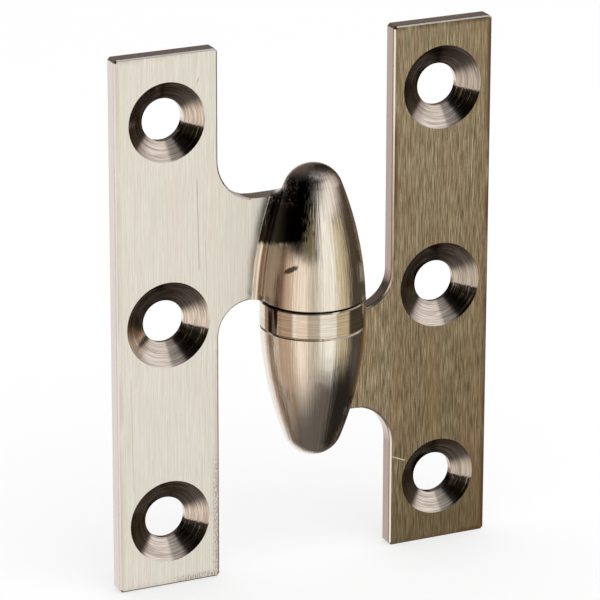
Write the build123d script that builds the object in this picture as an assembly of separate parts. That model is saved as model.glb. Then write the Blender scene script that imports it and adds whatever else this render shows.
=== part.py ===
from build123d import *
import os
from math import radians, sqrt, tan

# Olive knuckle hinge, modelled lying flat open. The pivot is the Z axis, and the
# origin is half way up it. The countersunk faces look towards -Y. The upper half of
# the olive belongs to the leaf on the -X side, the lower half to the leaf on +X.

# Leaf plates
leaf_height = 63.5
leaf_width = 12.5
leaf_thickness = 2.1
axis_to_leaf = 11.0  # from the pivot out to the plate's inner edge
axis_to_face = 1.7  # from the pivot back to the countersunk face
corner_chamfer = 0.3
edge_chamfer = 0.2

# Screw holes, in one line down each plate. All the countersinks are cut with the same
# point but not to the same depth, so each has its own width at the face. They are
# listed from the plate's end beside the joint to its end beside the olive's tip.
screw_spacing = 23.9
screw_inset = 6.2  # from the plate's inner edge out to the line of holes
screw_hole_diameter = 5.0
countersink_diameters = (9.9, 10.2, 9.3)
countersink_angle = 118.0

# Olive, turned about the pivot and parted by the bearing ring. Each half has one long
# round flank that runs smoothly into a smaller round tip.
olive_diameter = 12.2
olive_length = 34.9
olive_tip_radius = 3.5
rim_chamfer = 0.2

# Neck, the web that joins a plate to its half of the olive
neck_to_tip = 1.6  # from the neck's far end up to where the olive's tip begins
joint_flare_radius = 4.0  # where the neck widens into the plate, beside the ring
end_flare_radius = 5.0  # the same at the neck's far end
root_radius = 1.0  # hollow between the neck's faces and the olive
saddle_radius = 1.8  # hollow between the neck's end and the olive
back_root_margin = 0.15  # olive left proud of the plate's back where the hollow ends

# Bearing ring
ring_diameter = 12.2
ring_height = 3.1
ring_chamfer = 0.12

# Pin and the blind holes that it turns in
pin_diameter = 5.0
pin_chamfer = 0.4
pin_bore_depth = 11.5  # from the joint face to the flat floor that rests on the pin
bore_mouth_chamfer = 0.3

# Clearances
pin_clearance = 0.04  # all round, in both halves of the olive
ring_clearance = 0.06  # all round, between the pin and the ring
ring_play = 0.1  # the pin's end carries the upper leaf this far clear of the ring
pin_end_gap = 0.02  # film of grease at each end of the pin

# Steps in which a hollow is drawn along the olive, and how far its two sides
# sink into the metal that they join
root_sections = 6
root_bite = 0.015


def flank_radius():
    """Radius of the olive's flank, which is upright at mid height and meets the tip."""
    widest = olive_diameter / 2
    tip_centre = olive_length / 2 - olive_tip_radius
    return (widest**2 - olive_tip_radius**2 + tip_centre**2) / (2 * (widest - olive_tip_radius))


def olive_radius(z):
    """Radius of the olive's flank at a height above the middle of the hinge."""
    return olive_diameter / 2 - flank_radius() + sqrt(flank_radius() ** 2 - z**2)


def flank_height(radius):
    """Height above the middle of the hinge at which the flank has a radius."""
    return sqrt(flank_radius() ** 2 - (flank_radius() - olive_diameter / 2 + radius) ** 2)


def neck_end():
    """Height above the middle of the hinge of the neck's far end."""
    tip_centre = olive_length / 2 - olive_tip_radius
    tip_start = tip_centre * flank_radius() / (flank_radius() - olive_tip_radius)
    return tip_start - neck_to_tip


def blind_bore():
    """Hole for the pin, with its flat floor and a chamfered mouth."""
    radius = pin_diameter / 2 + pin_clearance
    mouth = ring_height / 2
    floor = mouth + pin_bore_depth
    profile = Polyline(
        (0, mouth),
        (radius + bore_mouth_chamfer, mouth),
        (radius, mouth + bore_mouth_chamfer),
        (radius, floor),
        (0, floor),
        close=True,
    )
    return revolve(Plane.XZ * make_face(profile), Axis.Z)


def olive_profile():
    """Half of the olive's section, from the joint face to its tip."""
    joint = ring_height / 2
    tip = Vector(0, olive_length / 2)
    tip_centre = tip - Vector(0, olive_tip_radius)
    to_blend = Vector(flank_radius() - olive_diameter / 2, tip_centre.Y).normalized()
    to_nose = (to_blend + Vector(0, 1)).normalized()
    blend = tip_centre + to_blend * olive_tip_radius
    middle_z = (joint + blend.Y) / 2
    rim = (olive_radius(joint), joint)
    return make_face(
        [
            Line((0, joint), rim),
            ThreePointArc(rim, (olive_radius(middle_z), middle_z), blend),
            ThreePointArc(blend, tip_centre + to_nose * olive_tip_radius, tip),
            Line(tip, (0, joint)),
        ]
    )


def rim_corner():
    """Corner that is taken off the olive's section where it meets the joint face."""
    joint = ring_height / 2
    rim = olive_radius(joint)
    corner = Polyline(
        (rim - rim_chamfer, joint),
        (rim + rim_chamfer, joint),
        (rim + rim_chamfer, joint + 2 * rim_chamfer),
        close=True,
    )
    return make_face(corner)


def root_section(z, face, side):
    """Level slice of the hollow where a face of the neck runs into the olive.

    face is the plane's distance behind the pivot, and side is -1 for the hollow in
    front of it and 1 for the hollow behind it.
    """
    olive = olive_radius(z)
    centre_y = face + side * root_radius
    centre_x = -sqrt((olive + root_radius) ** 2 - centre_y**2)
    reach = root_radius + root_bite
    to_pivot = Vector(-centre_x, -centre_y).normalized() * reach
    to_plate = Vector(0, -side * reach)
    centre = Vector(centre_x, centre_y, z)
    on_olive = centre + to_pivot
    on_plate = centre + to_plate
    middle = centre + (to_pivot + to_plate).normalized() * reach
    inside = Vector(-sqrt(olive**2 - face**2) / 2, face - side * leaf_thickness / 3, z)
    return make_face(
        [
            ThreePointArc(on_plate, middle, on_olive),
            Line(on_olive, inside),
            Line(inside, on_plate),
        ]
    )


def root_hollow(face, side, top):
    """Rounded hollow along the olive, from the joint face up to a height."""
    joint = ring_height / 2
    step = (top - joint) / (root_sections - 1)
    return loft([root_section(joint + step * i, face, side) for i in range(root_sections)])


def saddle_hollow():
    """Rounded hollow between the neck's far end and the olive above it."""
    joint = ring_height / 2
    top = neck_end()
    flange_radius = olive_diameter / 2 + 2 * saddle_radius
    flange = Pos(flange_radius / 2, (joint + top) / 2) * Rectangle(flange_radius, top - joint)
    profile = olive_profile() + flange
    corner = profile.vertices().sort_by_distance((olive_radius(top), top))[0]
    flanged_olive = revolve(Plane.XZ * fillet(corner, saddle_radius), Axis.Z)
    plate_strip = Pos(-flange_radius / 2, axis_to_face + leaf_thickness / 2, top) * Rectangle(
        flange_radius, leaf_thickness
    )
    plan = plate_strip + root_section(top, axis_to_face, -1)
    return flanged_olive & extrude(plan, amount=saddle_radius)


def plate_outline():
    """Front view of a leaf plate with its neck, the neck running in to the pivot."""
    joint = ring_height / 2
    top = neck_end()
    plate = Pos(-axis_to_leaf - leaf_width / 2, 0) * Rectangle(leaf_width, leaf_height)
    plate = chamfer(plate.vertices(), corner_chamfer)
    neck = Pos(-axis_to_leaf / 2, (joint + top) / 2) * Rectangle(axis_to_leaf, top - joint)
    outline = plate + neck
    joint_corner = outline.vertices().sort_by_distance((-axis_to_leaf, joint))[0]
    outline = fillet(joint_corner, joint_flare_radius)
    end_corner = outline.vertices().sort_by_distance((-axis_to_leaf, top))[0]
    return fillet(end_corner, end_flare_radius)


def leaf_and_neck():
    """Leaf plate with eased edges, and the square-edged end of its neck."""
    blank = Pos(0, axis_to_face, 0) * extrude(Plane.XZ * plate_outline(), amount=-leaf_thickness)
    neck_line = -(axis_to_leaf - joint_flare_radius)
    plate = split(blank, Plane((neck_line, 0, 0), z_dir=(-1, 0, 0)))
    neck = split(blank, Plane((neck_line, 0, 0), z_dir=(1, 0, 0)))
    front_edges = plate.faces().sort_by(Axis.Y)[0].edges()
    back_edges = plate.faces().sort_by(Axis.Y)[-1].edges()
    cut_edges = plate.faces().sort_by(Axis.X)[-1].edges()
    rim = [edge for edge in front_edges + back_edges if edge not in cut_edges]
    return chamfer(rim, edge_chamfer) + neck


def screw_hole(countersink_diameter):
    """Countersunk hole about the Y axis, open at both faces of the plate."""
    front = axis_to_face
    back = axis_to_face + leaf_thickness
    cone_slope = tan(radians(countersink_angle / 2))
    hole_radius = screw_hole_diameter / 2
    face_radius = countersink_diameter / 2
    past = leaf_thickness / 2
    profile = Polyline(
        (0, front - past),
        (face_radius + past * cone_slope, front - past),
        (hole_radius, front + (face_radius - hole_radius) / cone_slope),
        (hole_radius, back + past),
        (0, back + past),
        close=True,
    )
    return revolve(make_face(profile), Axis.Y)


def hinge_half():
    """One casting: a leaf plate, its neck and its half of the olive."""
    face = axis_to_face
    back = axis_to_face + leaf_thickness
    back_root_end = flank_height(back + back_root_margin)
    half = revolve(Plane.XZ * (olive_profile() - rim_corner()), Axis.Z)
    half += root_hollow(face, -1, neck_end())
    half += root_hollow(back, 1, min(neck_end(), back_root_end))
    half += saddle_hollow()
    half += leaf_and_neck()
    hole_line = -(axis_to_leaf + screw_inset)
    lowest_hole = -screw_spacing * (len(countersink_diameters) - 1) / 2
    for row, diameter in enumerate(countersink_diameters):
        half -= Pos(hole_line, 0, lowest_hole + row * screw_spacing) * screw_hole(diameter)
    return half - blind_bore()


def bearing_ring():
    """Flat turned ring that parts the two halves of the olive."""
    ring = Cylinder(ring_diameter / 2, ring_height)
    ring -= Cylinder(pin_diameter / 2 + ring_clearance, ring_height)
    outer_edges = ring.edges().filter_by(GeomType.CIRCLE).group_by(SortBy.RADIUS)[-1]
    return chamfer(outer_edges, ring_chamfer)


def hinge_pin():
    """Straight pin, chamfered at both ends, that stands on the floors of both holes."""
    floor = (ring_height + ring_play) / 2 + pin_bore_depth
    pin = Cylinder(pin_diameter / 2, 2 * (floor - pin_end_gap))
    return chamfer(pin.edges().filter_by(GeomType.CIRCLE), pin_chamfer)


half = hinge_half()
nodes = {
    "upper_leaf": Pos(0, 0, ring_play / 2) * half,
    "lower_leaf": Pos(0, 0, -ring_play / 2) * Rot(0, 180, 0) * half,
    "bearing_ring": Pos(0, 0, -ring_play / 2) * bearing_ring(),
    "hinge_pin": hinge_pin(),
}

os.makedirs("parts", exist_ok=True)
for name, solid in nodes.items():
    export_step(solid, f"parts/{name}.step")
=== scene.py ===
import math

import bmesh
import bpy
from mathutils import Matrix, Vector


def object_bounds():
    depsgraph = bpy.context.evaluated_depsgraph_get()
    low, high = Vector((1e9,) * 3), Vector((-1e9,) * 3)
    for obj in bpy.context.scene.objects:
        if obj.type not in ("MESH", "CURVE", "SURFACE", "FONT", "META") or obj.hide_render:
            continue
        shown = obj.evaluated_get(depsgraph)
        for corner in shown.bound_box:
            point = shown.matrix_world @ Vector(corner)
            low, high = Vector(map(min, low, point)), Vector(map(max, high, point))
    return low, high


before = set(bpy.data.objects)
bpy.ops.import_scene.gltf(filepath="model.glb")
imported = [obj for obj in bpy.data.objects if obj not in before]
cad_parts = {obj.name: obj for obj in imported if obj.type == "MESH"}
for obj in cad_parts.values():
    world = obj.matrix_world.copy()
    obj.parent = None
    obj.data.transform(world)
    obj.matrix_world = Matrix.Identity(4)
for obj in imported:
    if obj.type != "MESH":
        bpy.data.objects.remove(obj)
cad_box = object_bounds()


# The two leaves. Each is one brass casting: a flat plate with three countersunk holes,
# a neck and half of the olive. It is ground on belts, plated with nickel, darkened to
# an antique tone and brushed lengthways, so the grain runs up the plate and the olive.

mm = 0.001
leaf_half_height = 31.75 * mm
plate_inner = 11.0 * mm
plate_outer = 23.5 * mm
plate_face = 1.7 * mm
plate_back = 3.8 * mm
eased_edge = 0.2 * mm
hole_line = 17.2 * mm
hole_spacing = 23.9 * mm
leaf_shift = 0.05 * mm
countersink_radius = 5.15 * mm
olive_radius = 6.1 * mm
flank_radius = 42.2 * mm


def new_group(name, inputs, outputs):
    """Empty shader node group. Inputs are named with their kinds, outputs are numbers."""
    group = bpy.data.node_groups.new(name, "ShaderNodeTree")
    for label, kind in inputs:
        group.interface.new_socket(label, in_out="INPUT", socket_type=kind)
    for label in outputs:
        group.interface.new_socket(label, in_out="OUTPUT", socket_type="NodeSocketFloat")
    return group, group.nodes.new("NodeGroupInput"), group.nodes.new("NodeGroupOutput")


def set_or_link(tree, socket, value):
    """Puts a number, vector or colour on a socket, or links another output to it."""
    if isinstance(value, bpy.types.NodeSocket):
        tree.links.new(value, socket)
    else:
        socket.default_value = value


def placed_group(tree, group, values):
    """Places a node group in a tree, sets or links its inputs, and returns its outputs."""
    node = tree.nodes.new("ShaderNodeGroup")
    node.node_tree = group
    for label, value in values.items():
        set_or_link(tree, node.inputs[label], value)
    return node.outputs


def calculate(tree, operation, first, second=0.0, third=0.0):
    """One Math node. Returns its output."""
    node = tree.nodes.new("ShaderNodeMath")
    node.operation = operation
    for socket, value in zip(node.inputs, (first, second, third)):
        set_or_link(tree, socket, value)
    return node.outputs[0]


def product(tree, *values):
    """All the values multiplied together."""
    total = values[0]
    for value in values[1:]:
        total = calculate(tree, "MULTIPLY", total, value)
    return total


def length_of(tree, first, second):
    """Length of the long side of a right-angled triangle with these short sides."""
    squares = calculate(tree, "MULTIPLY_ADD", second, second, product(tree, first, first))
    return calculate(tree, "SQRT", squares)


def smooth_step(tree, value, low, high, at_low=0.0, at_high=1.0):
    """Smooth change as a value goes from one level to another."""
    node = tree.nodes.new("ShaderNodeMapRange")
    node.interpolation_type = "SMOOTHSTEP"
    set_or_link(tree, node.inputs["Value"], value)
    node.inputs["From Min"].default_value = low
    node.inputs["From Max"].default_value = high
    node.inputs["To Min"].default_value = at_low
    node.inputs["To Max"].default_value = at_high
    return node.outputs["Result"]


def fade(tree, value, low, high):
    """1 below one level, 0 above another, and smooth between them."""
    return smooth_step(tree, value, low, high, 1.0, 0.0)


def between(tree, value, low, high, soft):
    """1 where a value lies between two levels and 0 elsewhere, with soft ends."""
    above = smooth_step(tree, value, low - soft, low + soft)
    below = fade(tree, value, high - soft, high + soft)
    return product(tree, above, below)


def noise(tree, place, scale, detail=2.0, roughness=0.5):
    """Grey noise at a place."""
    node = tree.nodes.new("ShaderNodeTexNoise")
    tree.links.new(place, node.inputs["Vector"])
    node.inputs["Scale"].default_value = scale
    node.inputs["Detail"].default_value = detail
    node.inputs["Roughness"].default_value = roughness
    return node.outputs["Fac"]


def scaled(tree, vector, factors):
    """A vector with each of its parts multiplied."""
    node = tree.nodes.new("ShaderNodeVectorMath")
    node.operation = "MULTIPLY"
    set_or_link(tree, node.inputs[0], vector)
    node.inputs[1].default_value = factors
    return node.outputs[0]


def parts_of(tree, vector):
    """The x, y and z of a vector."""
    node = tree.nodes.new("ShaderNodeSeparateXYZ")
    tree.links.new(vector, node.inputs[0])
    return node.outputs


def joined(tree, x, y, z):
    """A vector from its three parts."""
    node = tree.nodes.new("ShaderNodeCombineXYZ")
    for socket, value in zip(node.inputs, (x, y, z)):
        set_or_link(tree, socket, value)
    return node.outputs[0]


def angle_round_pivot(tree, x, y):
    """Angle in degrees round the pivot, turned from -Y towards -X."""
    turned = calculate(tree, "ARCTAN2", product(tree, x, -1), product(tree, y, -1))
    return calculate(tree, "DEGREES", turned)


def blend(tree, amount, first, second, kind="RGBA"):
    """Mix of two colours (RGBA) or two numbers (FLOAT) by an amount."""
    first_input, output = {"FLOAT": (2, 0), "RGBA": (6, 2)}[kind]
    node = tree.nodes.new("ShaderNodeMix")
    node.data_type = kind
    set_or_link(tree, node.inputs[0], amount)
    set_or_link(tree, node.inputs[first_input], first)
    set_or_link(tree, node.inputs[first_input + 1], second)
    return node.outputs[output]


def bumped(tree, height, strength, distance):
    """Normal of a surface with a fine relief."""
    node = tree.nodes.new("ShaderNodeBump")
    node.inputs["Strength"].default_value = strength
    node.inputs["Distance"].default_value = distance
    tree.links.new(height, node.inputs["Height"])
    return node.outputs["Normal"]


# Where a place lies on a leaf: masks from 0 to 1, and Rim, which is a distance. Both
# leaves share one shape, so places are counted on the upper one: its plate at -X, its
# half of the olive going up.
zones, enter, leave = new_group(
    "leaf_zones",
    [("Place", "NodeSocketVector")],
    ("Plate", "Wall", "End", "Edge", "Line", "Rim", "Neck", "Foot", "Height")
    + ("Root", "Saddle", "Cheek", "Pit", "Patch", "Stain"),
)
x, y, z = parts_of(zones, enter.outputs["Place"])
reach = length_of(zones, x, y)
round_angle = angle_round_pivot(zones, x, y)
depth = calculate(zones, "SUBTRACT", y, plate_face)

# Distance out from the olive's skin, and the plate, which begins where the hollow ends.
hollow_ends_at = (0.95 * mm, 1.15 * mm)
face_begins_at = (plate_face - 0.1 * mm, plate_face - 0.02 * mm)
to_flank = calculate(zones, "SUBTRACT", flank_radius**2, product(zones, z, z))
to_flank = calculate(zones, "SUBTRACT", reach, calculate(zones, "SQRT", to_flank))
off_olive = calculate(zones, "ADD", to_flank, flank_radius - olive_radius)
behind_face = smooth_step(zones, y, *face_begins_at)
past_hollow = smooth_step(zones, off_olive, *hollow_ends_at)
on_plate = product(zones, past_hollow, behind_face)
off_plate = calculate(zones, "SUBTRACT", 1.0, on_plate)
on_front = calculate(zones, "LESS_THAN", y, plate_face + eased_edge)
zones.links.new(on_plate, leave.inputs["Plate"])

# The plate's side walls and ends, its eased edge and the dark line just behind it.
hair_line = 0.02 * mm
soft_line = 0.06 * mm
bevel_begins = 0.03 * mm
dark_line_ends = 0.4 * mm
behind_edge = smooth_step(zones, depth, eased_edge, eased_edge + soft_line)
before_back = fade(zones, y, plate_back - soft_line, plate_back - hair_line)
wall = product(zones, behind_edge, before_back, on_plate)
zones.links.new(wall, leave.inputs["Wall"])
edge_bevel = between(zones, depth, bevel_begins, eased_edge, hair_line)
zones.links.new(edge_bevel, leave.inputs["Edge"])
dark_wall_line = between(zones, depth, eased_edge, dark_line_ends, soft_line)
zones.links.new(dark_wall_line, leave.inputs["Line"])
from_end = calculate(zones, "SUBTRACT", leaf_half_height, calculate(zones, "ABSOLUTE", z))
zones.links.new(fade(zones, from_end, hair_line, soft_line), leave.inputs["End"])

# Distance in from the nearest of the plate's edges, leaving out the one that the neck
# takes up.
neck_sides = (-3.0 * mm, 19.0 * mm, 1.0 * mm)
out_of_the_way = 10.0 * mm
from_outside = calculate(zones, "ADD", x, plate_outer)
off_inner_edge = calculate(zones, "ABSOLUTE", calculate(zones, "ADD", x, plate_inner))
beside_neck = between(zones, z, *neck_sides)
from_inside = calculate(zones, "MULTIPLY_ADD", beside_neck, out_of_the_way, off_inner_edge)
from_sides = calculate(zones, "MINIMUM", from_outside, from_inside)
zones.links.new(calculate(zones, "MINIMUM", from_sides, from_end), leave.inputs["Rim"])

# Slow changes of tone along the plate: bottom to top, its last part beside the olive's
# tip, and in towards the neck.
foot_tone_at = (17.0 * mm, 31.0 * mm)
neck_tone_at = (-13.0 * mm, -8.5 * mm)
up_the_plate = smooth_step(zones, z, -leaf_half_height, leaf_half_height)
zones.links.new(up_the_plate, leave.inputs["Height"])
zones.links.new(smooth_step(zones, z, *foot_tone_at), leave.inputs["Foot"])
zones.links.new(smooth_step(zones, x, *neck_tone_at), leave.inputs["Neck"])

# Dark root in the hollow between the olive and the neck, painted near-black as painted
# shade and dark reflection. Its edges are ragged, and its foot slants.
root_foot_at = (10.75 * mm, 11.45 * mm)
root_head_at = (15.8 * mm, 17.2 * mm)
root_begins_at = (47.0, 62.0)
root_ends_at = (132.0, 160.0)
foot_slant = 0.022 * mm
foot_ragged = 1.2 * mm
side_ragged = 44.0
ragged_stretch = (1.0, 1.0, 0.08)
ragged_scale = 4000.0
ragged_place = scaled(zones, enter.outputs["Place"], ragged_stretch)
ragged = noise(zones, ragged_place, ragged_scale)
root_foot = calculate(zones, "MULTIPLY_ADD", round_angle, foot_slant, z)
root_foot = calculate(zones, "MULTIPLY_ADD", ragged, foot_ragged, root_foot)
root_height = smooth_step(zones, root_foot, *root_foot_at)
root_height = product(zones, root_height, fade(zones, z, *root_head_at))
ragged_angle = calculate(zones, "MULTIPLY_ADD", ragged, side_ragged, round_angle)
root_side = smooth_step(zones, ragged_angle, *root_begins_at)
root_side = product(zones, root_side, fade(zones, ragged_angle, *root_ends_at))
zones.links.new(product(zones, root_height, root_side, off_plate), leave.inputs["Root"])

# Rough cast skin in the saddle over the neck's end, and the brown cheek below the root.
# Sides and heights are given as from, to and softness.
saddle_sides = (55.0, 120.0, 8.0)
saddle_heights = (13.3 * mm, 16.6 * mm, 0.7 * mm)
cheek_sides = (59.0, 118.0, 4.0)
cheek_ends_at = (8.6 * mm, 9.2 * mm)
skin_ends_at = (0.3 * mm, 0.6 * mm)
saddle_side = between(zones, round_angle, *saddle_sides)
saddle_height = between(zones, z, *saddle_heights)
saddle = product(zones, saddle_side, saddle_height, off_plate)
zones.links.new(saddle, leave.inputs["Saddle"])
cheek_height = fade(zones, z, *cheek_ends_at)
cheek_side = between(zones, round_angle, *cheek_sides)
near_skin = fade(zones, off_olive, *skin_ends_at)
zones.links.new(product(zones, cheek_height, cheek_side, near_skin), leave.inputs["Cheek"])

# One dark pit in the plating and a bright patch above it, as ragged ovals. Angles and
# half widths are in degrees, and the tilt is in height for each degree. Only the upper
# leaf shows them, and the stain.
oval_ragged = 1.2
oval_ends_at = (0.9, 1.7)
for label, angle, level, half_width, half_height, tilt in (
    ("Pit", 52.0, 6.35 * mm, 10.0, 0.42 * mm, 0.045 * mm),
    ("Patch", 50.0, 7.9 * mm, 7.0, 0.85 * mm, 0.0),
):
    across = calculate(zones, "SUBTRACT", round_angle, angle)
    along = calculate(zones, "SUBTRACT", z, level)
    along = calculate(zones, "MULTIPLY_ADD", across, tilt, along)
    across = calculate(zones, "POWER", calculate(zones, "DIVIDE", across, half_width), 2.0)
    along = calculate(zones, "POWER", calculate(zones, "DIVIDE", along, half_height), 2.0)
    oval = calculate(zones, "ADD", across, along)
    oval = calculate(zones, "MULTIPLY_ADD", ragged, oval_ragged, oval)
    zones.links.new(fade(zones, oval, *oval_ends_at), leave.inputs[label])

# Stain on the front face, down the lower inner edge and along the inner part of the end.
edge_stain_begins_at = (-12.1 * mm, -11.3 * mm)
edge_stain_ends_at = (-22.0 * mm, -14.0 * mm)
end_stain_begins_at = (-19.0 * mm, -13.0 * mm)
end_stain_ends_at = (-31.2 * mm, -30.6 * mm)
stain_side = smooth_step(zones, x, *edge_stain_begins_at)
stain_side = product(zones, stain_side, fade(zones, z, *edge_stain_ends_at))
stain_end = fade(zones, z, *end_stain_ends_at)
stain_end = product(zones, stain_end, smooth_step(zones, x, *end_stain_begins_at))
dark_mark = product(zones, calculate(zones, "MAXIMUM", stain_side, stain_end), on_front)
zones.links.new(dark_mark, leave.inputs["Stain"])


# Lengthways brushing: long fine scratches along Z on the flat faces, and along the
# olive's own up-and-down lines on the olive. Each row gives how far the noise is
# stretched along Z, its scale and its detail.
brushing_rows = {
    "Hairs": (0.018, 6500.0, 2.0),
    "Flecks": (0.045, 9500.0, 3.0),
    "Bands": (0.02, 900.0, 2.0),
    "Cloud": (0.3, 240.0, 3.0),
}
brushing_roughness = 0.65
hair_levels = (0.32, 0.68)
fleck_levels = (0.33, 0.65)
band_levels = (0.35, 0.65)
grain, enter, leave = new_group(
    "lengthways_grain",
    [("Place", "NodeSocketVector"), ("Plate", "NodeSocketFloat")],
    brushing_rows,
)
x, y, z = parts_of(grain, enter.outputs["Place"])
to_skin = calculate(grain, "DIVIDE", olive_radius, length_of(grain, x, y))
spread = blend(grain, enter.outputs["Plate"], to_skin, 1.0, "FLOAT")
across_x = product(grain, x, spread)
across_y = product(grain, y, spread)
for label, (stretch, scale, detail) in brushing_rows.items():
    place = joined(grain, across_x, across_y, product(grain, z, stretch))
    streaks = noise(grain, place, scale, detail, brushing_roughness)
    grain.links.new(streaks, leave.inputs[label])


# Turned grooves in a countersink, about the axis of the nearest of the three holes, and
# its lit and dark sectors, which are painted reflection: a painted sheen and a painted
# shade sector in the colour. The clock is in degrees as seen from the front, 0 at the top
# and 90 at the right, and a turned-over leaf (Side 1) is counted the other way round.
clock_begins = -20.0
sheen_rises_at = (5.0, 88.0)
sheen_falls_at = (208.0, 290.0)
shade_begins_at = (108.0, 111.0)
shade_ends_at = (136.0, 186.0)
sector_ragged = 14.0
lip = 0.01 * mm
round_the_hole = 0.03
groove_scale = 7600.0
groove_detail = 4.0
groove_roughness = 0.7
turned, enter, leave = new_group(
    "countersink_rings",
    [("Place", "NodeSocketVector"), ("Side", "NodeSocketFloat")],
    ("Inside", "Grooves", "Sheen", "PaintedShade"),
)
x, y, z = parts_of(turned, enter.outputs["Place"])
off_x = calculate(turned, "ADD", x, hole_line)
off_z = calculate(turned, "WRAP", z, hole_spacing / 2, -hole_spacing / 2)
distance = length_of(turned, off_x, off_z)
near = calculate(turned, "LESS_THAN", distance, countersink_radius)
sunk = calculate(turned, "GREATER_THAN", y, plate_face + lip)
shallow = calculate(turned, "LESS_THAN", y, plate_back - lip)
turned.links.new(product(turned, near, sunk, shallow), leave.inputs["Inside"])
ring_x = product(turned, off_x, round_the_hole)
ring_z = product(turned, z, round_the_hole)
ring_place = joined(turned, distance, ring_x, ring_z)
grooves = noise(turned, ring_place, groove_scale, groove_detail, groove_roughness)
turned.links.new(grooves, leave.inputs["Grooves"])
right_of = product(turned, off_x, enter.outputs["Side"], -1)
above = product(turned, off_z, enter.outputs["Side"], -1)
clock = calculate(turned, "DEGREES", calculate(turned, "ARCTAN2", right_of, above))
clock = calculate(turned, "WRAP", clock, clock_begins + 360.0, clock_begins)
ragged_clock = calculate(turned, "MULTIPLY_ADD", grooves, sector_ragged, clock)
# Painted reflection: a lit sheen sector and a dark painted shade sector round the hole.
sheen = smooth_step(turned, clock, *sheen_rises_at)
sheen = product(turned, sheen, fade(turned, ragged_clock, *sheen_falls_at))
turned.links.new(sheen, leave.inputs["Sheen"])
shade_sector = smooth_step(turned, ragged_clock, *shade_begins_at)
shade_sector = product(turned, shade_sector, fade(turned, ragged_clock, *shade_ends_at))
turned.links.new(shade_sector, leave.inputs["PaintedShade"])


scratch_soft_end = 0.3 * mm


def scratch(tree, place, start, end, width):
    """1 on a straight scratch across a plate's front, between two points in mm (x, z)."""
    x, y, z = parts_of(tree, place)
    on_front = calculate(tree, "LESS_THAN", y, plate_face + eased_edge)
    start, end = Vector(start) * mm, Vector(end) * mm
    along = (end - start).normalized()
    off_x = calculate(tree, "SUBTRACT", x, start.x)
    off_z = calculate(tree, "SUBTRACT", z, start.y)
    run = calculate(tree, "MULTIPLY_ADD", off_x, along.x, product(tree, off_z, along.y))
    aside = calculate(tree, "MULTIPLY_ADD", off_x, along.y, product(tree, off_z, -along.x))
    thin = fade(tree, calculate(tree, "ABSOLUTE", aside), width * mm / 2, width * mm)
    whole = between(tree, run, 0.0, (end - start).length, scratch_soft_end)
    return product(tree, thin, whole, on_front)


# Levels of noise from which and to which each kind of mark comes up. The wear along a
# plate's rim goes by the distance in from its edge.
cloud_levels = (0.35, 0.7)
worn_levels = (0.4, 0.6)
worn_rim = (0.15 * mm, 0.9 * mm)
speck_levels = (0.38, 0.62)
glint_levels = (0.52, 0.66)
lit_levels = (0.35, 0.65)
shade_levels = (0.5, 0.62)
shade_sector_levels = (0.56, 0.64)
shade_sector_strengths = (0.96, 0.45)


def plate_colour(tree, place, where, lines, tones, scratches):
    """Colour of the plate and neck: brushed faces, walls, eased edges, stains and marks."""
    hairs = smooth_step(tree, lines["Hairs"], *hair_levels)
    hairs = product(tree, hairs, tones["hair_strength"])
    flecks = blend(tree, where["Height"], tones["fleck_low"], tones["fleck_high"], "FLOAT")
    flecks = product(tree, smooth_step(tree, lines["Flecks"], *fleck_levels), flecks)
    bands = smooth_step(tree, lines["Bands"], *band_levels)
    cloud = smooth_step(tree, lines["Cloud"], *cloud_levels)
    speck_place = scaled(tree, place, (1.0, 1.0, 0.4))
    specks = noise(tree, speck_place, scale=6500.0, detail=3.0, roughness=0.7)
    specks = smooth_step(tree, specks, *speck_levels)
    worn = smooth_step(tree, where["Rim"], *worn_rim, tones["patina_strength"], 0.0)
    worn = product(tree, worn, smooth_step(tree, lines["Cloud"], *worn_levels))
    wall = blend(tree, where["End"], tones["wall"], tones["end_wall"])

    colour = blend(tree, where["Height"], tones["plate_low"], tones["plate_high"])
    layers = [
        (product(tree, where["Neck"], tones["neck_strength"]), tones["neck"]),
        (hairs, tones["hair"]),
        (flecks, tones["fleck"]),
        (product(tree, bands, cloud, tones["tint_strength"]), tones["tint"]),
        (product(tree, where["Foot"], tones["foot_strength"]), tones["fleck"]),
        (product(tree, where["Stain"], specks, tones["stain_strength"]), tones["patina"]),
    ]
    for start, end, width, strength in scratches:
        mark = product(tree, scratch(tree, place, start, end, width), strength)
        layers.append((mark, tones["scratch"]))
    layers += [
        (worn, tones["patina"]),
        (where["Wall"], wall),
        (where["Edge"], tones["edge"]),
        (product(tree, where["Line"], tones["line_strength"]), tones["patina"]),
    ]
    for amount, tone in layers:
        colour = blend(tree, amount, colour, tone)
    return colour


def olive_colour(tree, cast_skin, where, lines, tones):
    """Colour of the olive: polished nickel, painted shade in its root, cheek and single marks.
    """
    hairs = smooth_step(tree, lines["Hairs"], *hair_levels)
    bands = smooth_step(tree, lines["Bands"], *band_levels)
    # Painted highlights: glints painted into the dark root where the cast skin lies.
    painted_glints = product(tree, smooth_step(tree, cast_skin, *glint_levels), where["Saddle"])
    root = blend(tree, painted_glints, tones["root"], tones["painted_glint"])
    streaks = product(tree, hairs, bands, tones["streak_strength"])
    colour = blend(tree, streaks, tones["olive"], tones["olive_streak"])
    for amount, tone in (
        (product(tree, where["Cheek"], tones["cheek_strength"]), tones["cheek"]),
        (where["Root"], root),
        (product(tree, where["Patch"], tones["pit_strength"]), tones["olive"]),
        (product(tree, where["Pit"], tones["pit_strength"]), tones["root"]),
    ):
        colour = blend(tree, amount, colour, tone)
    return colour


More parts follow.
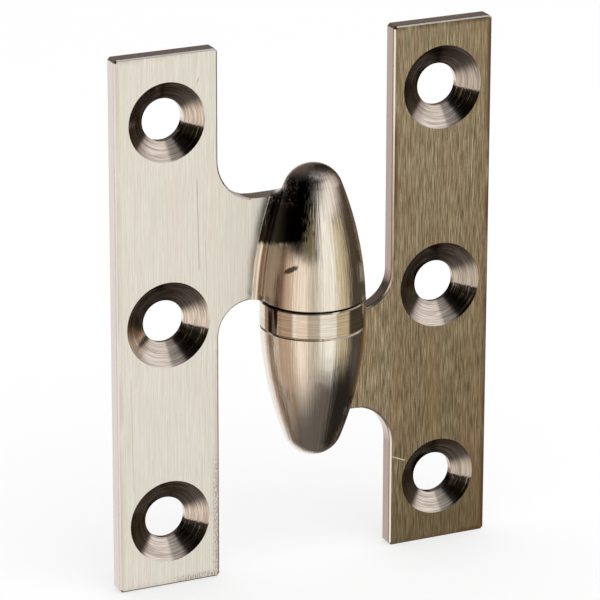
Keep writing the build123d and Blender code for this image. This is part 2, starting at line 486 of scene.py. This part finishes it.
def countersink_colour(tree, holes, tones):
    """Colour of a turned countersink, with its painted reflection: lit, grey and dark sectors.
    """
    lit = smooth_step(tree, holes["Grooves"], *lit_levels)
    lit = blend(tree, lit, tones["groove_sheen_dark"], tones["groove_sheen_light"])
    shade = smooth_step(tree, holes["Grooves"], *shade_levels)
    shade = blend(tree, shade, tones["groove_shade_deep"], tones["groove_shade_grey"])
    dark = smooth_step(tree, holes["Grooves"], *shade_sector_levels, *shade_sector_strengths)
    colour = blend(tree, holes["Sheen"], shade, lit)
    return blend(tree, product(tree, holes["PaintedShade"], dark), colour, tones["root"])


# How rough each part of a leaf is, how much the hairs add to that, and how high the
# relief of the hairs, the cast skin and the turned grooves stands.
hair_roughness = 0.05
olive_roughness = 0.07
saddle_roughness = 0.15
plate_roughness = 0.2
countersink_roughness = 0.12
olive_hair_relief = 1.1
plate_hair_relief = 0.15
saddle_relief = 6.0
groove_relief = 0.25
relief_strength = 0.35
relief_height = 0.02 * mm


def leaf_metal(name, side, tones, scratches):
    """Brushed antique nickel for one leaf, on the -X side (-1) or the +X side (1)."""
    material = bpy.data.materials.new(name)
    material.use_nodes = True
    tree = material.node_tree
    shader = tree.nodes["Principled BSDF"]
    own_place = tree.nodes.new("ShaderNodeTexCoord").outputs["Object"]
    lowered = tree.nodes.new("ShaderNodeVectorMath")
    lowered.operation = "SUBTRACT"
    tree.links.new(scaled(tree, own_place, (-side, 1.0, -side)), lowered.inputs[0])
    lowered.inputs[1].default_value = (0.0, 0.0, leaf_shift)
    place = lowered.outputs[0]

    where = placed_group(tree, zones, {"Place": place})
    lines = placed_group(tree, grain, {"Place": place, "Plate": where["Plate"]})
    holes = placed_group(tree, turned, {"Place": place, "Side": side})
    cast_skin = noise(tree, place, scale=2600.0, detail=3.0, roughness=0.6)
    colour = blend(
        tree,
        where["Plate"],
        olive_colour(tree, cast_skin, where, lines, tones),
        plate_colour(tree, place, where, lines, tones, scratches),
    )
    colour = blend(tree, holes["Inside"], colour, countersink_colour(tree, holes, tones))
    tree.links.new(colour, shader.inputs["Base Color"])

    shader.inputs["Metallic"].default_value = 1.0
    hairs = smooth_step(tree, lines["Hairs"], *hair_levels)
    polished = calculate(tree, "MULTIPLY_ADD", hairs, hair_roughness, olive_roughness)
    polished = calculate(tree, "MULTIPLY_ADD", where["Saddle"], saddle_roughness, polished)
    brushed = calculate(tree, "MULTIPLY_ADD", hairs, hair_roughness, plate_roughness)
    roughness = blend(tree, where["Plate"], polished, brushed, "FLOAT")
    roughness = blend(tree, holes["Inside"], roughness, countersink_roughness, "FLOAT")
    tree.links.new(roughness, shader.inputs["Roughness"])

    hair_relief = blend(tree, where["Plate"], olive_hair_relief, plate_hair_relief, "FLOAT")
    skin_relief = product(tree, cast_skin, where["Saddle"], saddle_relief)
    relief = calculate(tree, "MULTIPLY_ADD", hairs, hair_relief, skin_relief)
    grooves = product(tree, holes["Grooves"], groove_relief)
    relief = blend(tree, holes["Inside"], relief, grooves, "FLOAT")
    relief = bumped(tree, relief, relief_strength, relief_height)
    tree.links.new(relief, shader.inputs["Normal"])
    return material


def dress(node, material):
    """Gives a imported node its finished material."""
    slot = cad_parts[node].material_slots[0]
    slot.link = "OBJECT"
    slot.material = material


# Tones of the upper leaf, which is pale. A strength says how much of a tone shows.
pale_tones = {
    "plate_low": (0.84, 0.84, 0.81, 1.0),
    "plate_high": (0.87, 0.86, 0.82, 1.0),
    "hair": (0.68, 0.67, 0.58, 1.0),
    "hair_strength": 0.25,
    "fleck": (0.60, 0.56, 0.48, 1.0),
    "fleck_low": 0.2,
    "fleck_high": 0.22,
    "tint": (0.86, 0.74, 0.66, 1.0),
    "tint_strength": 0.3,
    "patina": (0.26, 0.18, 0.12, 1.0),
    "patina_strength": 0.2,
    "line_strength": 0.25,
    "neck": (0.77, 0.77, 0.72, 1.0),
    "neck_strength": 0.5,
    "foot_strength": 0.0,
    "stain_strength": 0.75,
    "scratch": (0.42, 0.37, 0.29, 1.0),
    "wall": (0.83, 0.80, 0.79, 1.0),
    "end_wall": (0.83, 0.78, 0.76, 1.0),
    "edge": (0.99, 0.98, 0.97, 1.0),
    "olive": (0.90, 0.86, 0.79, 1.0),
    "olive_streak": (0.56, 0.50, 0.38, 1.0),
    "streak_strength": 0.5,
    "cheek": (0.27, 0.205, 0.145, 1.0),
    "cheek_strength": 0.8,
    # near-black painted shade of the root and the countersinks' dark sector; also the pit
    "root": (0.022, 0.017, 0.013, 1.0),
    # pink-grey painted highlight: the glints on the root's cast skin
    "painted_glint": (0.40, 0.31, 0.29, 1.0),
    "pit_strength": 0.9,
    # painted shade (deep, grey) and painted sheen (dark, light) of the countersinks
    "groove_shade_deep": (0.17, 0.13, 0.10, 1.0),
    "groove_shade_grey": (0.52, 0.43, 0.39, 1.0),
    "groove_sheen_dark": (0.50, 0.45, 0.41, 1.0),
    "groove_sheen_light": (0.96, 0.91, 0.87, 1.0),
}

# Scratches on a plate's front: start and end (x, z) in mm, width in mm, and strength.
pale_scratches = [
    ((-13.6, 16.8), (-13.4, 6.1), 0.08, 0.6),
    ((-13.5, 28.1), (-13.3, 28.6), 0.1, 0.7),
    ((-21.9, -6.0), (-21.7, -19.5), 0.06, 0.35),
    ((-12.6, 9.5), (-12.5, 3.2), 0.06, 0.4),
]
dress("upper_leaf", leaf_metal("upper_leaf_nickel", -1.0, pale_tones, pale_scratches))

# The lower leaf shares the upper one's olive and countersinks. The two leaves are one
# finish: the lower leaf's darker, browner plate, hairs, flecks and foot and its paler
# walls are painted reflection of the darker surroundings that it mirrors.
reflected_dark_tones = {
    **pale_tones,
    # painted reflection: the darker, browner plate tones of the same nickel finish
    "plate_low": (0.59, 0.515, 0.36, 1.0),
    "plate_high": (0.39, 0.32, 0.21, 1.0),
    "hair": (0.20, 0.15, 0.09, 1.0),
    "hair_strength": 0.45,
    "fleck": (0.10, 0.075, 0.04, 1.0),
    "fleck_low": 0.78,
    "fleck_high": 0.94,
    "tint": (0.34, 0.22, 0.13, 1.0),
    "tint_strength": 0.5,
    "patina": (0.12, 0.06, 0.03, 1.0),
    "patina_strength": 0.9,
    "line_strength": 0.8,
    "neck": (0.74, 0.63, 0.46, 1.0),
    "foot_strength": 0.4,
    "stain_strength": 0.0,
    "scratch": (0.90, 0.85, 0.74, 1.0),
    "wall": (0.60, 0.53, 0.50, 1.0),
    "end_wall": (1.0, 0.90, 0.84, 1.0),
    "edge": (0.98, 0.98, 0.92, 1.0),
    "pit_strength": 0.0,
}
dark_scratches = [
    ((-11.2, 20.5), (-12.9, 21.2), 0.08, 0.8),
    ((-14.1, -9.5), (-14.2, -3.4), 0.06, 0.4),
    ((-21.2, -17.3), (-21.1, -12.6), 0.06, 0.4),
]
dress("lower_leaf", leaf_metal("lower_leaf_nickel", 1.0, reflected_dark_tones, dark_scratches))


# Bearing ring: a flat brass washer turned on a lathe and plated like the leaves, so its
# grain runs round it. It is loose on the pin between the two halves of the olive.

ring_pale = (0.84, 0.79, 0.71, 1.0)
ring_brown = (0.62, 0.56, 0.47, 1.0)
ring_dark_band = (0.09, 0.065, 0.045, 1.0)
ring_dark_band_strength = 0.9
band_from, band_to, band_soft = 67.0, 81.0, 1.5
ring_metal = bpy.data.materials.new("ring_nickel")
ring_metal.use_nodes = True
tree = ring_metal.node_tree
shader = tree.nodes["Principled BSDF"]
place = tree.nodes.new("ShaderNodeTexCoord").outputs["Object"]
ring_place = scaled(tree, place, (0.04, 0.04, 1.0))
ring_grain = noise(tree, ring_place, scale=7000.0, detail=3.0, roughness=0.6)
ring_lines = smooth_step(tree, ring_grain, 0.3, 0.7)
ring_colour = blend(tree, ring_lines, ring_pale, ring_brown)
# A dark band in the ring's colour, between two angles round the pivot.
x, y = parts_of(tree, place)[:2]
dark_mark = between(tree, angle_round_pivot(tree, x, y), band_from, band_to, band_soft)
dark_mark = product(tree, dark_mark, ring_dark_band_strength)
ring_colour = blend(tree, dark_mark, ring_colour, ring_dark_band)
tree.links.new(ring_colour, shader.inputs["Base Color"])
shader.inputs["Metallic"].default_value = 1.0
shader.inputs["Roughness"].default_value = 0.1
ring_normal = bumped(tree, ring_lines, strength=0.3, distance=0.004 * mm)
tree.links.new(ring_normal, shader.inputs["Normal"])
dress("bearing_ring", ring_metal)


# Hinge pin: ground steel rod, lightly greased. It stands in the blind holes of both
# halves of the olive, and shows only when the upper leaf is lifted.

pin_pale = (0.62, 0.62, 0.63, 1.0)
pin_grey = (0.48, 0.48, 0.49, 1.0)
pin_metal = bpy.data.materials.new("pin_ground_steel")
pin_metal.use_nodes = True
tree = pin_metal.node_tree
shader = tree.nodes["Principled BSDF"]
place = tree.nodes.new("ShaderNodeTexCoord").outputs["Object"]
pin_place = scaled(tree, place, (0.05, 0.05, 1.0))
pin_grain = noise(tree, pin_place, scale=9000.0, detail=2.0, roughness=0.6)
tree.links.new(blend(tree, pin_grain, pin_pale, pin_grey), shader.inputs["Base Color"])
shader.inputs["Metallic"].default_value = 1.0
shader.inputs["Roughness"].default_value = 0.22
pin_normal = bumped(tree, pin_grain, strength=0.3, distance=0.004 * mm)
tree.links.new(pin_normal, shader.inputs["Normal"])
dress("hinge_pin", pin_metal)


# Floor: a sheet of matt white card that the hinge stands on, on the lower ends of its
# leaves. To the camera it also glows, which makes it nearly as white as the background.
# It isn't mirrored in the metal, which shows the studio round it instead.

floor_size = 3.0
card_white = (0.95, 0.95, 0.95, 1.0)
glow_share = 0.6
floor_mesh = bpy.data.meshes.new("floor")
shape = bmesh.new()
bmesh.ops.create_grid(shape, x_segments=1, y_segments=1, size=floor_size / 2)
bmesh.ops.translate(shape, vec=(0.0, 0.0, cad_box[0].z), verts=shape.verts)
shape.to_mesh(floor_mesh)
shape.free()
floor = bpy.data.objects.new("floor", floor_mesh)
bpy.context.scene.collection.objects.link(floor)
floor.visible_glossy = False
floor_card = bpy.data.materials.new("floor_white_card")
floor_card.use_nodes = True
tree = floor_card.node_tree
floor_shader = tree.nodes["Principled BSDF"]
floor_shader.inputs["Base Color"].default_value = card_white
floor_shader.inputs["Roughness"].default_value = 0.9
rays = tree.nodes.new("ShaderNodeLightPath")
glow = tree.nodes.new("ShaderNodeEmission")
glow.inputs["Color"].default_value = (1.0, 1.0, 1.0, 1.0)
lift = tree.nodes.new("ShaderNodeMixShader")
tree.links.new(product(tree, rays.outputs["Is Camera Ray"], glow_share), lift.inputs[0])
tree.links.new(floor_shader.outputs[0], lift.inputs[1])
tree.links.new(glow.outputs[0], lift.inputs[2])
tree.links.new(lift.outputs[0], tree.nodes["Material Output"].inputs["Surface"])
floor_mesh.materials.append(floor_card)


# Studio round the hinge: cards, cloths and walls that only the metal mirrors. The camera
# and the floor see plain white in their place. Angles are in degrees: the turn goes from
# -Y towards +X, and the rise goes up from level.

world = bpy.data.worlds.new("studio")
bpy.context.scene.world = world
world.use_nodes = True
tree = world.node_tree
for node in list(tree.nodes):
    tree.nodes.remove(node)
x, y, z = parts_of(tree, tree.nodes.new("ShaderNodeTexCoord").outputs["Generated"])
turn = calculate(tree, "DEGREES", calculate(tree, "ARCTAN2", x, product(tree, y, -1.0)))
rise = calculate(tree, "DEGREES", calculate(tree, "ARCSINE", z))
turn_either_way = calculate(tree, "ABSOLUTE", turn)

dim_floor = (0.13, 0.112, 0.10, 1.0)
dark_cloth = (0.018, 0.014, 0.012, 1.0)
soft_horizon = 1.5
above_level = smooth_step(tree, rise, -soft_horizon, soft_horizon)
room = blend(tree, above_level, dim_floor, dark_cloth)

# Each card: turn from, to and softness, rise from and to, softness of its foot and its
# head, and colour. A later card stands in front of an earlier one. A limit that no angle
# comes to leaves that side open.
for angle, turn_from, turn_to, turn_soft, rise_from, rise_to, foot_soft, head_soft, colour in (
    # dark ceiling, brown wall high behind, and white paper low behind
    (turn, -400, 400, 1, 66, 200, 20, 5, (0.10, 0.088, 0.085, 1.0)),
    (turn_either_way, 150, 200, 4, 1, 45, 2, 8, (0.15, 0.115, 0.10, 1.0)),
    (turn_either_way, 151, 200, 3, -60, 0, 10, 2, (1.0, 0.95, 0.93, 1.0)),
    # brown, tan and pink cards low on the left
    (turn, -151, -100, 3, -44, -1, 14, 2, (0.38, 0.245, 0.17, 1.0)),
    (turn, -100, -70, 5, -44, 1, 14, 2, (0.52, 0.37, 0.27, 1.0)),
    (turn, -70, -34, 5, -43, 2, 13, 2, (0.97, 0.84, 0.72, 1.0)),
    (turn, -34, -9, 4, -40, 3, 12, 2, (0.60, 0.525, 0.44, 1.0)),
    # dark cloth above them, with a bronze strip along its foot
    (turn, -48, -14, 6, 3, 26, 2, 6, (0.035, 0.027, 0.018, 1.0)),
    (turn, -46, -10, 5, 2, 15, 2, 5, (0.18, 0.145, 0.09, 1.0)),
    # dark table, bronze card and brown cloth low on the right
    (turn, 32, 125, 8, -64, -29, 4, 4, (0.022, 0.018, 0.015, 1.0)),
    (turn, 28, 62, 4, -30, 9.5, 7, 2, (0.62, 0.52, 0.36, 1.0)),
    (turn, 62, 142, 5, -27, 9, 7, 3, (0.07, 0.054, 0.038, 1.0)),
    # slip of white card that the plates' left edges mirror
    (turn, -68.5, -62, 1, -23, -15, 1, 1, (1.0, 0.98, 0.96, 1.0)),
    # grey overhead, and mauve and pale walls high on the right
    (turn, 0, 110, 30, 60, 80, 10, 9, (0.26, 0.24, 0.24, 1.0)),
    (turn, 46, 112, 6, 8, 50, 3, 8, (0.56, 0.48, 0.45, 1.0)),
    (turn, 20, 66, 6, 11, 47, 2, 8, (0.82, 0.765, 0.71, 1.0)),
    # white card in front, which the plates mirror, and grey card above it
    (turn, -10, 28.5, 2, -35, 22, 7, 6, (1.0, 0.97, 0.91, 1.0)),
    (turn, -4, 20, 4, 24, 44, 5, 8, (0.42, 0.39, 0.36, 1.0)),
    # pale strip that the plates' top edges mirror, and a lamp overhead
    (turn, 44, 60, 3, 53, 63, 2, 2, (0.95, 0.94, 0.90, 1.0)),
    (turn, 5, 35, 8, 72, 77, 1.5, 1.5, (1.0, 1.0, 1.0, 1.0)),
    # dark slit in the brown card
    (turn, -137, -109, 1.5, -21.5, -16.5, 1, 1, (0.06, 0.045, 0.035, 1.0)),
):
    beside = between(tree, angle, turn_from, turn_to, turn_soft)
    over_foot = smooth_step(tree, rise, rise_from - foot_soft, rise_from + foot_soft)
    under_head = fade(tree, rise, rise_to - head_soft, rise_to + head_soft)
    room = blend(tree, product(tree, beside, over_foot, under_head), room, colour)

rays = tree.nodes.new("ShaderNodeLightPath")
mirrored = tree.nodes.new("ShaderNodeBackground")
tree.links.new(room, mirrored.inputs["Color"])
plain = tree.nodes.new("ShaderNodeBackground")
plain.inputs["Color"].default_value = (1.0, 1.0, 1.0, 1.0)
choose = tree.nodes.new("ShaderNodeMixShader")
tree.links.new(rays.outputs["Is Glossy Ray"], choose.inputs[0])
tree.links.new(plain.outputs[0], choose.inputs[1])
tree.links.new(mirrored.outputs[0], choose.inputs[2])
finish = tree.nodes.new("ShaderNodeOutputWorld")
tree.links.new(choose.outputs[0], finish.inputs["Surface"])


# Soft lamp: one broad panel above and in front, for the floor's soft shadow. The metal
# doesn't mirror it.

lamp_data = bpy.data.lights.new("soft_panel", "AREA")
lamp_data.shape = "RECTANGLE"
lamp_data.size = 0.5
lamp_data.size_y = 0.5
lamp_data.energy = 0.8
lamp = bpy.data.objects.new("soft_panel", lamp_data)
bpy.context.scene.collection.objects.link(lamp)
lamp.location = (0.1, -0.35, 0.6)
lamp.rotation_mode = "QUATERNION"
lamp.rotation_quaternion = Vector(lamp.location).to_track_quat("Z", "Y")
lamp.visible_glossy = False


# Camera at the photograph's viewing angle: left of the hinge and above it, and far
# enough back for a long lens. Its stand is measured along the picture's own axes.

picture_width = 600
sensor_width = 36.0
focal_pixels = 4134.19
camera_turn = math.radians(-25.364)
camera_rise = math.radians(19.186)
camera_roll = math.radians(0.146)
camera_back = 472.677 * mm
camera_right = -1.441 * mm
camera_up = 1.052 * mm

backward = Vector(
    (
        math.sin(camera_turn) * math.cos(camera_rise),
        -math.cos(camera_turn) * math.cos(camera_rise),
        math.sin(camera_rise),
    )
)
level_right = Vector((math.cos(camera_turn), math.sin(camera_turn), 0.0))
level_up = backward.cross(level_right)
picture_right = level_right * math.cos(camera_roll) + level_up * math.sin(camera_roll)
picture_up = backward.cross(picture_right)
camera_data = bpy.data.cameras.new("camera")
camera_data.sensor_width = sensor_width
camera_data.lens = focal_pixels / picture_width * sensor_width
camera_data.clip_start = 0.01
camera_data.clip_end = 10.0
camera = bpy.data.objects.new("camera", camera_data)
bpy.context.scene.collection.objects.link(camera)
stand = picture_right * camera_right + picture_up * camera_up + backward * camera_back
axes = Matrix((picture_right, picture_up, backward)).transposed()
camera.matrix_world = Matrix.Translation(stand) @ axes.to_4x4()
bpy.context.scene.camera = camera
bpy.context.scene.view_settings.view_transform = "Standard"
